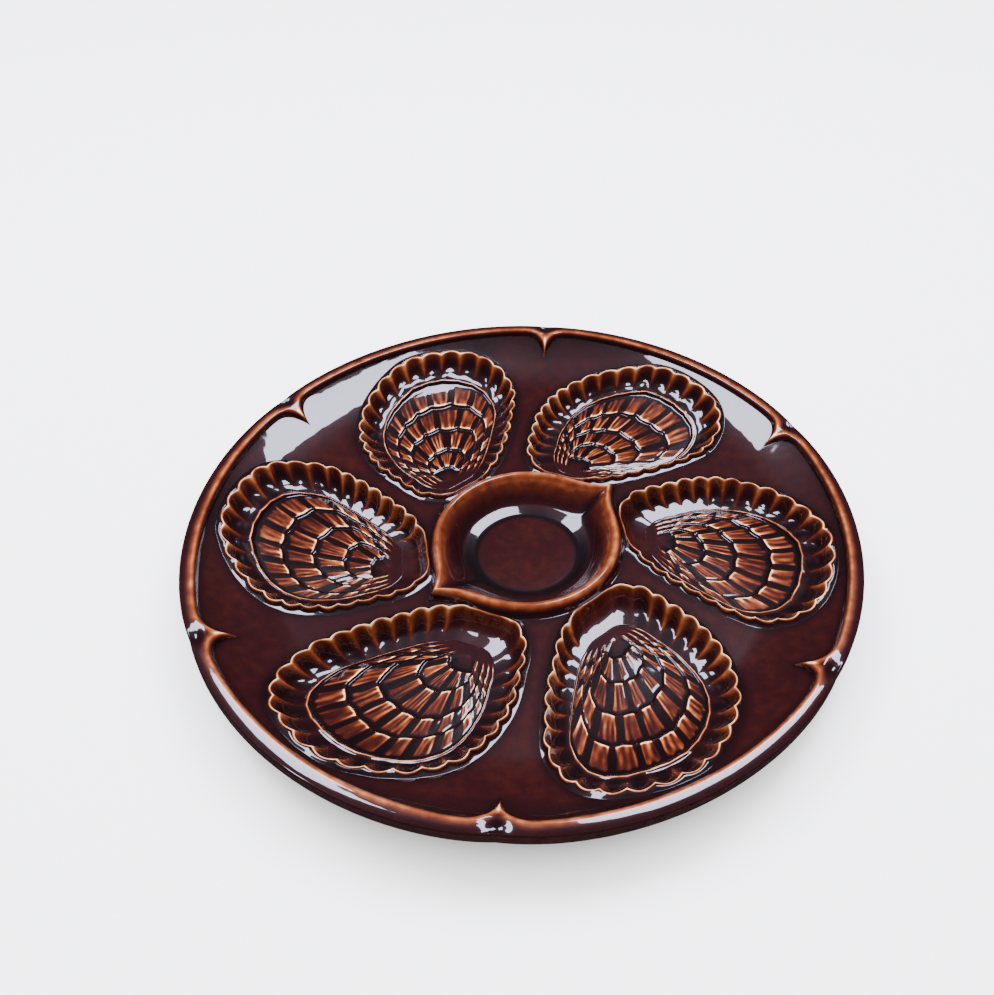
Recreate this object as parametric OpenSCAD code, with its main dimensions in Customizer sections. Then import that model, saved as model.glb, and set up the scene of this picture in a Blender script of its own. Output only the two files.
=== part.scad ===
// Round oyster plate in glazed earthenware.
// A dished deck carries six ruffled shell wells round a raised sauce cup. A ridged rim with six
// inward cusps closes the deck, and a foot ring under the wells stands on the table.
// The frame has its origin on the table under the plate's centre, with +Z up and one well on +X.

/* [Plate] */
// Diameter over the rim
plate_d = 250; // [242:1:285]
// Height of the rim's ridge above the table
rim_h = 25; // [23:0.5:30]
// Upright thickness of the clay wall
wall_t = 4.2; // [3.4:0.1:4.8]

/* [Deck] */
// Height of the level part of the deck's top
deck_h = 12.4; // [11:0.1:13.6]
// Diameter of the level part, where the cove up to the rim starts
level_d = 184; // [160:2:200]

/* [Rim] */
// Width of the ridged band from its inner edge to the plate's edge
band_w = 6.5; // [6:0.25:9]
// Height of the ridge above the deck at the band's inner edge
ridge_h = 2.6; // [1.6:0.1:3.4]
// Distance of the ridge from the band's inner edge
ridge_in = 2; // [1.4:0.1:2.4]
// How far the band falls from its ridge to the plate's edge
edge_fall = 0.7; // [0.3:0.1:1.2]
// How far each cusp reaches inward from the band
cusp_l = 8.8; // [5:0.2:10]
// Length along the rim over which a cusp fades out
cusp_fade = 3.4; // [2:0.1:5]
// How far the band's inner edge swings out on both sides of a cusp
cusp_swing = 1; // [0:0.1:1.2]
// Depth of the dimple in the band behind each cusp
dimple_h = 1.2; // [0:0.1:1.5]
// How far the plate's edge draws in beside each cusp
edge_dip = 0.8; // [0:0.1:1.2]
// Height of the ridge above the lower lip
lip_drop = 6; // [5:0.25:7]

/* [Wells] */
// Width of the deck left between two neighbouring wells at their widest
web_w = 13.8; // [11.8:0.2:25]
// Space between a well's outer end and the rim band
well_gap = 4.6; // [3.6:0.1:7]
// Height of a well's crest above the deck beside it
crest_h = 2.2; // [1.6:0.1:4]
// Height of a well's floor above the table at its deep end
well_floor_h = 5.6; // [5.2:0.1:7]
// Rise of the floor from the deep end to the foot of the outer wall
floor_rise = 7.5; // [5:0.25:10]
// Width of the slope from the crest out to the deck
flank_w = 2.5; // [1.5:0.1:3]
// How far each ruffle swells outward
ruffle_out = 1.4; // [0.6:0.1:1.8]
// Depth of the pocket in the wall behind each ruffle
pocket_h = 0.9; // [0:0.1:1.2]
// Height of each step between two rows of scales
step_h = 1.3; // [0.6:0.1:1.8]

/* [Sauce cup] */
// Diameter of the cup's ring at its crest
cup_d = 68; // [64:0.5:70]
// Height of the ring's crest above the table
cup_h = 16.5; // [15:0.1:18]
// Diameter of the cup's flat floor
cup_floor_d = 42; // [34:0.5:46]
// Height of the cup's floor above the table
cup_floor_h = 6; // [5.4:0.1:7]
// Width of the slope from the ring's crest out to the deck
cup_flank_w = 4; // [3:0.1:4.5]
// How far each pouring beak reaches beyond the ring
beak_l = 8.5; // [5:0.25:9]
// Length along the ring over which a beak fades out
beak_fade = 5.2; // [3.5:0.1:6]

/* [Foot] */
// Outer diameter of the foot ring where it meets the table
foot_d = 130; // [120:1:140]
// Width of the foot ring where it meets the table
foot_w = 3.6; // [2.5:0.1:5]
// How much wider than that the foot ring is at its root, on each side
foot_flare = 1.6; // [0.8:0.1:2.4]

/* [Hidden] */

well_count = 6;
well_pitch = 360 / well_count;
beak_count = 2;
beak_angle = 43;
overrun = 1; // how far a cutting prism runs past what it cuts

plate_r = plate_d / 2;
band_r = plate_r - band_w;
level_r = level_d / 2;
cup_r = cup_d / 2;
cup_floor_r = cup_floor_d / 2;
foot_r = foot_d / 2;
band_h = rim_h - ridge_h;

glaze_dark = [0.22, 0.08, 0.09];
glaze_mid = [0.36, 0.14, 0.08];
glaze_amber = [0.60, 0.29, 0.10];

// Places round a well's crest where two ruffles meet, anticlockwise from the pointed umbo.
// The first number is the share of the well's length from the umbo, the second of its width.
crest_shares = [
    [0.000, 0.241], [0.020, 0.122], [0.042, 0.028], [0.098, -0.060], [0.159, -0.134],
    [0.226, -0.195], [0.297, -0.253], [0.371, -0.312], [0.448, -0.366], [0.529, -0.416],
    [0.621, -0.459], [0.721, -0.467], [0.818, -0.442], [0.899, -0.378], [0.954, -0.278],
    [0.986, -0.161], [1.000, -0.036], [0.989, 0.089], [0.945, 0.200], [0.885, 0.300],
    [0.810, 0.389], [0.723, 0.458], [0.630, 0.499], [0.545, 0.516], [0.460, 0.517],
    [0.376, 0.505], [0.292, 0.476], [0.209, 0.438], [0.126, 0.402], [0.048, 0.337]
];
// How much of its full swell each ruffle has: none beside the cup, where the well opens to the ring
ruffle_shares = [for (i = [0:len(crest_shares) - 1]) i < 2 ? 0 : i == 2 || i == 29 ? 0.5 : 1];
widest_share = 0.64;       // where along the well it is widest
bowl_centre_shares = [0.51, 0.05];
umbo_floor_shares = [0.19, 0.15];
wall_in_share = 0.27;      // how far the wall's foot lies in from the crest, towards the bowl's centre
wall_in_end_share = 0.2;   // the same at the well's outer end
floor_start_share = 0.25;  // where along the well its floor starts to rise
floor_end_share = 0.885;   // where the rise is complete
floor_power = 4;
cove_power = 1.7;
cove_steps = 7;
crest_fall_share = 0.2;    // how much lower a crest stands over the deck at the rim end
scale_row_shares = [0.785, 0.575, 0.325, 0.11]; // edges of the scale rows, from the wall's foot to the umbo
riser_share = 0.045;       // width of a step's riser, as a share of the same length
ruffle_parts = 3;

// Small tools
function mix(a, b, t) = a + (b - a) * t;
function unit(v) = v / norm(v);
function polar(r, a) = [r * cos(a), r * sin(a)];
function lift(p, z) = [p[0], p[1], z];
function arc_of(a, r) = abs(a) * PI * r / 180;
// Angle from a to the nearest of n marks that stand evenly round the plate from the angle first
function to_mark(a, n, first) = let (p = 360 / n, d = (a - first) % p, e = d < 0 ? d + p : d) min(e, p - e);
// Point f of the way from place i to the next, on a smooth closed curve through all places
function spline(p, i, f) =
    let (n = len(p), a = p[(i + n - 1) % n], b = p[i % n], c = p[(i + 1) % n], d = p[(i + 2) % n])
    (2 * b + (c - a) * f + (2 * a - 5 * b + 4 * c - d) * f * f + (3 * b - a - 3 * c + d) * f * f * f) / 2;

// Deck: one profile that every piece reads
cove_table = [for (i = [0:cove_steps])
    [mix(level_r, band_r, i / cove_steps), mix(deck_h, band_h, pow(i / cove_steps, cove_power))]];
deck_table = concat([[0, deck_h]], cove_table);
function deck_z(r) = lookup(r, deck_table);

// Rim: radii and heights by angle
function cusp(a, fade) = exp(-arc_of(to_mark(a, well_count, well_pitch / 2), band_r) / fade);
function band_edge_r(a) =
    let (c = cusp(a, cusp_fade)) band_r - cusp_l * c + 2 * cusp_swing * cusp(a, 3 * cusp_fade) * (1 - c);
function plate_edge_r(a) = plate_r - edge_dip * cusp(a, 3 * cusp_fade);
function ridge_r(a) = band_edge_r(a) + ridge_in * (1 + 1.3 * cusp(a, cusp_fade));
function ridge_z(a) = mix(rim_h, deck_z(ridge_r(a)) + 0.7 * ridge_h, cusp(a, 1.4 * cusp_fade));
lobe_steps = 14;
rim_angles = [for (k = [0:well_count - 1], i = [-lobe_steps:lobe_steps - 1])
    well_pitch * (k + 0.5) + sign(i) * well_pitch / 2 * pow(abs(i) / lobe_steps, 2)];
band_outline = [for (a = rim_angles) polar(band_edge_r(a), a)];

// One section of the rim, anticlockwise as seen with the plate's centre on the left
function rim_section(a) =
    let (r0 = band_edge_r(a), z0 = deck_z(r0), rr = ridge_r(a), zr = ridge_z(a), r1 = plate_edge_r(a),
        lip = rim_h - lip_drop, z_in = mix(z0, zr, 0.6), z_edge = rim_h - edge_fall,
        z_slope = mix(zr, z_edge, 0.35) - dimple_h * cusp(a, cusp_fade))
    [
        [r0, z0 - wall_t],
        [mix(r0, r1, 0.55), mix(z0 - wall_t, lip, 0.75)],
        [r1 - band_w / 5, lip],
        [r1 - band_w / 30, mix(lip, z_edge, 0.06)],
        [r1, mix(lip, z_edge, 0.2)],
        [r1, z_edge - band_w / 12],
        [r1 - band_w / 12, z_edge],
        [mix(rr, r1, 0.45), z_slope],
        [rr, zr],
        [mix(r0, rr, 0.55), mix(z_in, zr, 0.75)],
        [mix(r0, rr, 0.2), z_in],
        [r0, z0]
    ];

// Wells: a well's own axis runs along +X from the plate's centre
umbo_x = cup_r + mix(0, cup_flank_w, 0.375);
well_end_x = band_r - well_gap;
well_l = well_end_x - umbo_x;
well_w = 2 * (umbo_x + widest_share * well_l) * sin(well_pitch / 2) - web_w;
function well_place(s) = [umbo_x + s[0] * well_l, s[1] * well_w];
crest_places = [for (s = crest_shares) well_place(s)];
bowl_centre = well_place(bowl_centre_shares);
umbo_floor = well_place(umbo_floor_shares);
crest_count = len(crest_places);
crest_smooth = [for (i = [0:crest_count - 1], f = [0:ruffle_parts - 1]) spline(crest_places, i, f / ruffle_parts)];
ruffle = [for (i = [0:crest_count - 1], f = [0:ruffle_parts - 1]) ruffle_shares[i] * sin(180 * f / ruffle_parts)];
side_count = len(crest_smooth);
all_sides = [for (i = [0:side_count - 1]) i];
half_sides = [for (i = [0:2:side_count - 1]) i];
function outward(i) = unit(crest_smooth[i] - bowl_centre);
// How much of the crest stands up: all of it away from the cup, little where the well opens to the ring
function crest_stand(i) = mix(0.25, 1, min(1, max(0, (norm(crest_smooth[i]) - umbo_x) / (2 * flank_w))));

function well_floor_z(p) =
    let (t = (p[0] - umbo_x - floor_start_share * well_l) / ((floor_end_share - floor_start_share) * well_l))
    well_floor_h + floor_rise * pow(min(1, max(0, t)), floor_power);
function crest_z(i) =
    let (r = norm(crest_smooth[i]), far = max(0, (r - level_r) / (band_r - level_r)))
    deck_z(r) + crest_h * crest_stand(i) * (1 - crest_fall_share * far);
function flank_point(i) = crest_smooth[i] + outward(i) * (flank_w * crest_stand(i) + ruffle_out / 2);
function wall_in(i) =
    let (s = (crest_smooth[i][0] - umbo_x) / well_l)
    mix(wall_in_share, wall_in_end_share, min(1, max(0, (s - 0.45) / 0.4)));
// a runs from 0 at the crest to 1 at the foot of the wall
function wall_point(i, a) =
    mix(crest_smooth[i], bowl_centre, wall_in(i) * a) + outward(i) * ruffle_out * ruffle[i] * (1 - a / 2);
function wall_z(i, a) =
    mix(well_floor_z(wall_point(i, 1)), crest_z(i), pow(1 - a, 2)) - pocket_h * ruffle[i] * 4 * a * (1 - a);
// k runs from 1 at the foot of the wall to 0 at the umbo's floor
function row_point(i, k) = mix(umbo_floor, wall_point(i, 1), k);
// Half the height of a row's step: full towards the outer end, none behind the umbo
function half_step(i) = let (v = unit(wall_point(i, 1) - umbo_floor)) step_h / 2 * min(1, max(0, (v[0] + 0.3) / 0.6));

flank_ring = [for (i = all_sides) lift(flank_point(i), deck_z(norm(flank_point(i))))];
wall_rings = [for (a = [0, 0.3, 0.65, 0.94]) [for (i = all_sides) lift(wall_point(i, a), wall_z(i, a))]];
first_row_ring = [for (i = all_sides) let (p = row_point(i, 0.98)) lift(p, well_floor_z(p) + half_step(i))];
row_rings = [for (k = scale_row_shares, side = [-1, 1])
    [for (i = half_sides) let (p = row_point(i, k - side * riser_share / 2))
        lift(p, well_floor_z(p) - side * half_step(i))]];
well_top_rings = concat([flank_ring], wall_rings, [first_row_ring], row_rings);

// Underside: b runs from 0 at the well's edge to 1 at the flat under its floor
function under_point(i, b) = mix(flank_point(i), bowl_centre, 0.3 * b);
function under_z(i, b) =
    let (p = under_point(i, b))
    mix(well_floor_z(p), deck_z(norm(flank_point(i))), pow(1 - b, 1.9)) - wall_t;
well_under_rings = [
    [let (p = umbo_floor) lift(p, well_floor_h - wall_t)],
    [for (i = half_sides) let (p = mix(umbo_floor, under_point(i, 1), 0.5)) lift(p, well_floor_z(p) - wall_t)],
    for (b = [1, 0.7, 0.35]) [for (i = half_sides) lift(under_point(i, b), under_z(i, b))],
    [for (i = all_sides) lift(flank_point(i), deck_z(norm(flank_point(i))) - wall_t)]
];
well_outline = [for (i = all_sides) flank_point(i)];

// Cup: radii by angle
function beak(a) = exp(-arc_of(to_mark(a, beak_count, beak_angle), cup_r) / beak_fade);
function ring_r(a) = cup_r + beak_l * beak(a);
function cup_edge_r(a) = ring_r(a) + cup_flank_w;
beak_steps = 18;
cup_angles = [for (k = [0:beak_count - 1], i = [-beak_steps:beak_steps - 1])
    beak_angle + 180 * k + sign(i) * 90 * pow(abs(i) / beak_steps, 1.5)];
cup_outline = [for (a = cup_angles) polar(cup_edge_r(a), a)];
// Rings of the cup's top: share of the way from the floor's edge to the crest, and from floor to crest height
cup_wall_shares = [[1, 1], [0.84, 0.9], [0.5, 0.45], [0.18, 0.1], [0, 0]];
cup_top_rings = concat(
    [[for (a = cup_angles) lift(polar(cup_edge_r(a), a), deck_h)]],
    [[for (a = cup_angles) lift(polar(ring_r(a) + 0.45 * cup_flank_w, a), mix(deck_h, cup_h, 0.7))]],
    [for (s = cup_wall_shares)
        [for (a = cup_angles) lift(polar(mix(cup_floor_r, ring_r(a), s[0]), a), mix(cup_floor_h, cup_h, s[1]))]],
    [[[0, 0, cup_floor_h]]]
);
cup_under_rings = concat(
    [[[0, 0, cup_floor_h - wall_t]]],
    [for (s = [[0.1, 0], [0.55, 0.25], [0.85, 0.7]])
        [for (a = cup_angles) lift(polar(mix(cup_floor_r, cup_edge_r(a), s[0]), a),
            mix(cup_floor_h, deck_h, s[1]) - wall_t)]],
    [[for (a = cup_angles) lift(polar(cup_edge_r(a), a), deck_h - wall_t)]]
);

// Foot: its section, and the number of straight sides it is made of
foot_section = [
    [foot_r - foot_w, 0],
    [foot_r, 0],
    [foot_r + foot_flare, deck_h - wall_t],
    [foot_r - foot_w - foot_flare, deck_h - wall_t]
];
foot_sides = 96;

// Index of each ring's first point
function starts(rings, i = 0, at = 0) =
    i == len(rings) ? [] : concat([at], starts(rings, i + 1, at + len(rings[i])));
// Triangles between a ring of na points and the next ring of nb: as many, half, twice, or a single point
function band(ia, na, ib, nb) =
    na == 1 ? [for (i = [0:nb - 1]) [ia, ib + i, ib + (i + 1) % nb]]
    : nb == 1 ? [for (i = [0:na - 1]) [ia + i, ib, ia + (i + 1) % na]]
    : na == nb ? [for (i = [0:na - 1]) let (j = (i + 1) % na)
        each [[ia + i, ib + i, ib + j], [ia + i, ib + j, ia + j]]]
    : na > nb ? [for (i = [0:nb - 1]) let (j = (i + 1) % nb, m = ia + 2 * i + 1, e = ia + (2 * i + 2) % na)
        each [[ia + 2 * i, ib + i, m], [m, ib + i, ib + j], [m, ib + j, e]]]
    : [for (i = [0:na - 1]) let (j = (i + 1) % na, m = ib + 2 * i + 1, e = ib + (2 * i + 2) % nb)
        each [[ia + i, ib + 2 * i, m], [ia + i, m, ia + j], [ia + j, m, e]]];
// Closed skin through rings that run anticlockwise from a point underneath to a point on top
module skin(rings) {
    at = starts(rings);
    polyhedron([for (r = rings) each r],
        [for (i = [0:len(rings) - 2]) each band(at[i], len(rings[i]), at[i + 1], len(rings[i + 1]))]);
}
// Closed tube through sections that stand round the plate
module hoop(sections) {
    n = len(sections);
    m = len(sections[0]);
    polyhedron([for (s = sections) each s],
        [for (i = [0:n - 1], j = [0:m - 1])
            let (a = i * m, b = (i + 1) % n * m, k = (j + 1) % m)
            each [[a + j, a + k, b + k], [a + j, b + k, b + j]]]);
}

module at_well(i) {
    rotate(i * well_pitch)
        children();
}
module cup_prism() {
    translate([0, 0, -overrun])
        linear_extrude(rim_h + 2 * overrun)
            polygon(cup_outline);
}
module well_prism() {
    translate([0, 0, -overrun])
        linear_extrude(rim_h + 2 * overrun)
            polygon(well_outline);
}
module deck() {
    color(glaze_dark)
        difference() {
            intersection() {
                rotate_extrude($fn = 96)
                    polygon(concat([for (p = deck_table) p],
                        [for (i = [len(deck_table) - 1:-1:0]) deck_table[i] - [0, wall_t]]));
                translate([0, 0, -overrun])
                    linear_extrude(rim_h + 2 * overrun)
                        polygon(band_outline);
            }
            cup_prism();
            for (i = [0:well_count - 1])
                at_well(i)
                    well_prism();
        }
}
module rim() {
    color(glaze_amber)
        hoop([for (a = rim_angles) [for (p = rim_section(a)) lift(polar(p[0], a), p[1])]]);
}
module well(i) {
    color(glaze_mid)
        difference() {
            at_well(i)
                skin(concat(well_under_rings, well_top_rings, [[lift(umbo_floor, well_floor_h)]]));
            cup_prism();
        }
}
module sauce_cup() {
    color(glaze_amber)
        skin(concat(cup_under_rings, cup_top_rings));
}
// Everything above the underside of a well
module above_well() {
    lid = [for (i = all_sides) lift(flank_point(i), rim_h)];
    skin(concat(well_under_rings, [lid], [[lift(bowl_centre, rim_h)]]));
}
module foot_ring() {
    color(glaze_dark)
        difference() {
            hoop([for (i = [0:foot_sides - 1]) [for (p = foot_section) lift(polar(p[0], i * 360 / foot_sides), p[1])]]);
            for (i = [0:well_count - 1])
                at_well(i)
                    above_well();
        }
}

deck();
rim();
well(0);  // well_1
well(1);  // well_2
well(2);  // well_3
well(3);  // well_4
well(4);  // well_5
well(5);  // well_6
sauce_cup();
foot_ring();
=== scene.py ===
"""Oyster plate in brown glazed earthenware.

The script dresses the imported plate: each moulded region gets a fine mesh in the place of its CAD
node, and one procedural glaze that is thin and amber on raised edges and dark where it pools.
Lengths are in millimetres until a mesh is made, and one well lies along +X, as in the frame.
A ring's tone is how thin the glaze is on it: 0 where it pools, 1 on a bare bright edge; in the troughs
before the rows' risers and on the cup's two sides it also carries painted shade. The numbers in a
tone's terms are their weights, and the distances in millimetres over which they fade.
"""
import math

import bpy
import numpy as np
from mathutils import Matrix, Vector
from mathutils.geometry import delaunay_2d_cdt


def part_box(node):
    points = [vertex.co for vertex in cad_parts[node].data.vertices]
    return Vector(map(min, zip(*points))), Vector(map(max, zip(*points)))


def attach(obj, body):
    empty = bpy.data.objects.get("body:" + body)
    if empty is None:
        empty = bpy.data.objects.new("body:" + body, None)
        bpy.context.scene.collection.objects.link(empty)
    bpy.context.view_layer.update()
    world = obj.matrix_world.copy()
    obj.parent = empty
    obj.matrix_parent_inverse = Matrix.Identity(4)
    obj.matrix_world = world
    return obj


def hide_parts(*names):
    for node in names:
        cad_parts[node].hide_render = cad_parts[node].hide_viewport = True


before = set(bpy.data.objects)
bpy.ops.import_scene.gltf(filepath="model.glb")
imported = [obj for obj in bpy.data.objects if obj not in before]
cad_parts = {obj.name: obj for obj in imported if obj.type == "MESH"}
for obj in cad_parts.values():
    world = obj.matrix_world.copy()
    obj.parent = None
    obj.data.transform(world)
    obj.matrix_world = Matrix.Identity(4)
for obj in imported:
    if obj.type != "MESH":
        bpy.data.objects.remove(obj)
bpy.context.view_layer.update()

MM = 0.001


def box_mm(node):
    """The lowest and highest corner of a CAD node, in millimetres."""
    low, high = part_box(node)
    return [v / MM for v in low], [v / MM for v in high]


# Sizes of the plate, from the frame where a node's box gives them
RIM_CORNER = box_mm("rim")[1]
PLATE_R = RIM_CORNER[0]
RIM_H = RIM_CORNER[2]
WALL_T = 4.2
DECK_H = box_mm("deck")[0][2] + WALL_T
LEVEL_R = 92.0
COVE_POWER = 1.7
UNDER_TONE = 0.16
DECK_TONE = 0.17

# Rim
BAND_W = 6.5
BAND_R = PLATE_R - BAND_W
RIDGE_H = 2.6
BAND_H = RIM_H - RIDGE_H
EDGE_FALL = 0.7
EDGE_DIP = 0.8
EDGE_ROUND = 0.55
LIP_DROP = 6.0
LIP_H = RIM_H - LIP_DROP
CUSP_L = 8.8
CUSP_SWING = 1.0
CUSP_FADE = 3.4
DIMPLE_H = 1.2
DIMPLE_R = 122.0
DIMPLE_HALF_W = 2.1
DIMPLE_HALF_L = 3.3
ROLL_W = 1.75
ROLL_POWER = 2.4
BEAD_IN = 1.95
BEAD_H = 0.10
CROWN_DROP = 0.08
CROWN_SHARE = 0.45
CROWN_FALL_OUT = 2.8
CROWN_FALL_IN = 0.8
# Up the rim's outer face: share of the height from the lip to the edge, and how far in from the edge
LIP_CURVE = (
    (0.0, 0.75), (0.03, 0.5), (0.09, 0.2), (0.18, 0.05), (0.28, 0.0),
    (0.4, 0.0), (0.55, 0.0), (0.7, 0.0), (0.82, 0.0), (0.9, 0.0),
)
EDGE_TURNS = (0.15, 0.4, 0.65, 0.85)
# Steps from a cusp halfway to the next, which crowd towards the cusp
CUSP_STEPS = 84
CUSP_FINE_STEPS = 2401
# Across the band's top, from the edge inwards, which crowd towards the inner edge
BAND_SPLIT = 0.45
BAND_SHARES = np.concatenate([
    1 - np.linspace(0, 1, 22)[:-1] * (1 - BAND_SPLIT),
    BAND_SPLIT * np.linspace(1, 0, 30) ** 1.35,
])
SPIKE_END_R = 119.0

# Cup
CUP_R = 34.0
CUP_H = box_mm("sauce_cup")[1][2]
CUP_FLOOR_R = 21.0
CUP_FLOOR_H = 6.0
CUP_FLANK_W = 4.0
CUP_CONE = 0.33
CUP_RIDGE_W = 1.1
CUP_SEED = 5
BEAK_L = 8.5
BEAK_FADE = 5.2
BEAK_ANGLE = math.radians(43)
# Steps from a beak's tip halfway to the next, which crowd towards the tip
BEAK_STEPS = 150
BEAK_CROWDING = 1.5
CUP_FLANK_STEPS = np.concatenate([np.linspace(1, 0.1, 15), [0.04]])
CUP_WALL_STEPS = np.concatenate([[0.0], np.linspace(0.03, 1.0, 46)])
# Under the cup: share of the way out to the edge, and share of the rise up to the deck
CUP_UNDER = ((0.1, 0), (0.3, 0.08), (0.55, 0.25), (0.72, 0.5), (0.85, 0.7), (0.94, 0.88))
# The moat and the floor's disc: radius, how far below the floor, and tone
CUP_DISC = (
    (20.8, 0.06, 0.01), (20.4, 0.12, 0.01), (19.9, 0.17, 0.01), (19.4, 0.18, 0.01),
    (18.9, 0.14, 0.04), (18.3, 0.06, 0.12), (17.6, 0.0, 0.17), (12.0, -0.04, 0.18),
    (6.0, -0.06, 0.18),
)

# Wells
WELL_COUNT = 6
WELL_PITCH = 2 * math.pi / WELL_COUNT
WELL_SEED = 11
WEB_W = 13.8
WELL_GAP = 4.6
WIDEST_SHARE = 0.64
UMBO_X = CUP_R + 0.375 * CUP_FLANK_W
WELL_END_X = BAND_R - WELL_GAP
WELL_L = WELL_END_X - UMBO_X
WELL_W = 2 * (UMBO_X + WIDEST_SHARE * WELL_L) * math.sin(WELL_PITCH / 2) - WEB_W
BOWL_CENTRE = np.array([UMBO_X + 0.51 * WELL_L, 0.05 * WELL_W])
UMBO = np.array([UMBO_X + 0.19 * WELL_L, 0.15 * WELL_W])

# Places round a well's crest where two ruffles meet, as in part.scad: shares of its length and width
CREST_SHARES = [
    (0.000, 0.241), (0.020, 0.122), (0.042, 0.028), (0.098, -0.060), (0.159, -0.134),
    (0.226, -0.195), (0.297, -0.253), (0.371, -0.312), (0.448, -0.366), (0.529, -0.416),
    (0.621, -0.459), (0.721, -0.467), (0.818, -0.442), (0.899, -0.378), (0.954, -0.278),
    (0.986, -0.161), (1.000, -0.036), (0.989, 0.089), (0.945, 0.200), (0.885, 0.300),
    (0.810, 0.389), (0.723, 0.458), (0.630, 0.499), (0.545, 0.516), (0.460, 0.517),
    (0.376, 0.505), (0.292, 0.476), (0.209, 0.438), (0.126, 0.402), (0.048, 0.337),
]
PLACES = len(CREST_SHARES)
EVEN_PLACES = [0, 1]
WEAK_PLACES = [2, PLACES - 1]
RUFFLE_PARTS = 16
CREST_H = 2.2
CREST_FALL_SHARE = 0.2
CREST_SOFT = 0.4
CREST_SWELL = 0.2
CREST_WAVER = 0.2
STAND_AT_CUP = 0.25
RUFFLE_OUT = 1.4
RUFFLE_FOOT_SHARE = 0.15
FLANK_W = 2.5
FLANK_SLOPE = 0.27
FLANK_POWER = 8
FLANK_STEPS = (1.0, 0.9, 0.8, 0.7, 0.6, 0.5, 0.41, 0.33, 0.26, 0.2, 0.14, 0.09, 0.045, 0.0)
UNDER_IN_SHARE = 0.3
UNDER_POWER = 1.9
UNDER_STEPS = (1.0, 0.8, 0.6, 0.4, 0.2, 0.08)
WALL_IN_SHARE = 0.27
WALL_IN_END_SHARE = 0.2
WALL_SLANT = 0.26
WALL_POWER = 2.4
WALL_STEPS = np.concatenate([[0.018, 0.04, 0.065, 0.095], np.linspace(0.13, 0.95, 20), [1.0]])
CUP_WALL_SLOPE = 0.23
CUP_WALL_POWER = 6.5
POCKET_H = 0.9
POCKET_END = 0.66
POCKET_POWER = 1.5
PLEAT_H = 0.35
PLEAT_W = 0.8
PLEAT_END = 0.6
FOOT_SINK = 0.15
FLOOR_H = 5.6
FLOOR_RISE = 7.5
FLOOR_START_SHARE = 0.25
FLOOR_END_SHARE = 0.885
FLOOR_POWER = 4

# Rows of scales, from the cup outwards; the last one is the line at the wall's foot
ROW_SHARES = [0.15, 0.34, 0.565, 0.785, 0.98]
ROW_STEPS = [0.64, 0.72, 0.72, 0.72, 0.72]
RIB_COUNTS = [16, 22, 28, 36, 48]
ROWS = len(ROW_SHARES)
ROW_HEADING = 0.1
ROW_END_TONE = 0.14
ROW_ROOM_REACH = 45
ROW_STEP_REACH = 48
ROW_MIN_REACH = 18
ROW_WAVER = 0.8
ROW_SCALLOP = 0.95
LAST_ROW_WAVER = 0.2
LAST_ROW_SCALLOP = 0.5
HOLLOW_R = 7.5
HOLLOW_STEPS = (0.85, 0.65, 0.45, 0.25)
RISER_W = 1.3
RISER_MAX_SHARE = 0.25
RISER_STEPS = (0.25, 0.5, 0.75, 1.0)
NOSE_W = 0.35
NOSE_ROUND_SHARE = 0.12
BRICK_H = 0.05
TREAD_STEPS = (0.97, 0.93, 0.89, 0.85, 0.80, 0.75, 0.67, 0.58, 0.49, 0.40, 0.31, 0.23, 0.16, 0.11, 0.07,
               0.035, 0.0)
LAST_TREAD_STEPS = (0.5, 0.2, 0.0)
BRICK_TONES = 400

# Deck
DECK_SPACING = 1.5
DECK_POOL_REACHES = [1.1] + [1.5] * WELL_COUNT + [1.8]
SEAM_NEAR = 0.05
CHUNK = 500


# Small tools
def mix(a, b, t):
    """From a at t = 0 to b at t = 1."""
    return a + (b - a) * t


def smooth(x):
    """A soft step from 0 at x = 0 to 1 at x = 1."""
    x = np.clip(x, 0.0, 1.0)
    return x * x * (3 - 2 * x)


def bump(distance, width):
    """1 on a line and 0 away from it."""
    return np.exp(-(distance / width) ** 2)


def wobble(rng, x, period, terms=4):
    """Smooth noise, mostly from -1 to 1, along a closed line of length period."""
    out = np.zeros_like(x, dtype=float)
    for n in range(1, terms + 1):
        out += rng.normal() * np.sin(2 * math.pi * n * x / period + rng.uniform(0, 6.28)) / n ** 0.5
    return out / terms ** 0.5


def grain(rng, x, low, high, terms=28):
    """Streaks along a closed line of length 2 pi, with low to high waves round it."""
    out = np.zeros_like(x, dtype=float)
    for _ in range(terms):
        out += np.sin(rng.integers(low, high) * x + rng.uniform(0, 2 * math.pi))
    return out / math.sqrt(terms / 2)


def deck_z(r):
    """Height of the deck at a radius: level, then up the cove to the rim's band."""
    t = np.clip((r - LEVEL_R) / (BAND_R - LEVEL_R), 0, 1)
    return DECK_H + (BAND_H - DECK_H) * t ** COVE_POWER


def floor_z(p):
    """Height of a well's floor, which rises towards the rim."""
    length = (FLOOR_END_SHARE - FLOOR_START_SHARE) * WELL_L
    t = (p[:, 0] - UMBO_X - FLOOR_START_SHARE * WELL_L) / length
    return FLOOR_H + FLOOR_RISE * np.clip(t, 0, 1) ** FLOOR_POWER


def polar(r, angle):
    """Points at radius r and an angle, as rows of x and y."""
    return np.column_stack([r * np.cos(angle), r * np.sin(angle)])


def spline_closed(p, parts):
    """A smooth closed curve through the points p, with parts steps from each to the next."""
    f = (np.arange(parts) / parts)[None, :, None]
    a = np.roll(p, 1, 0)[:, None]
    b = p[:, None]
    c = np.roll(p, -1, 0)[:, None]
    d = np.roll(p, -2, 0)[:, None]
    square = (2 * a - 5 * b + 4 * c - d) * f ** 2
    cube = (3 * b - a - 3 * c + d) * f ** 3
    return ((2 * b + (c - a) * f + square + cube) / 2).reshape(-1, 2)


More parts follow.
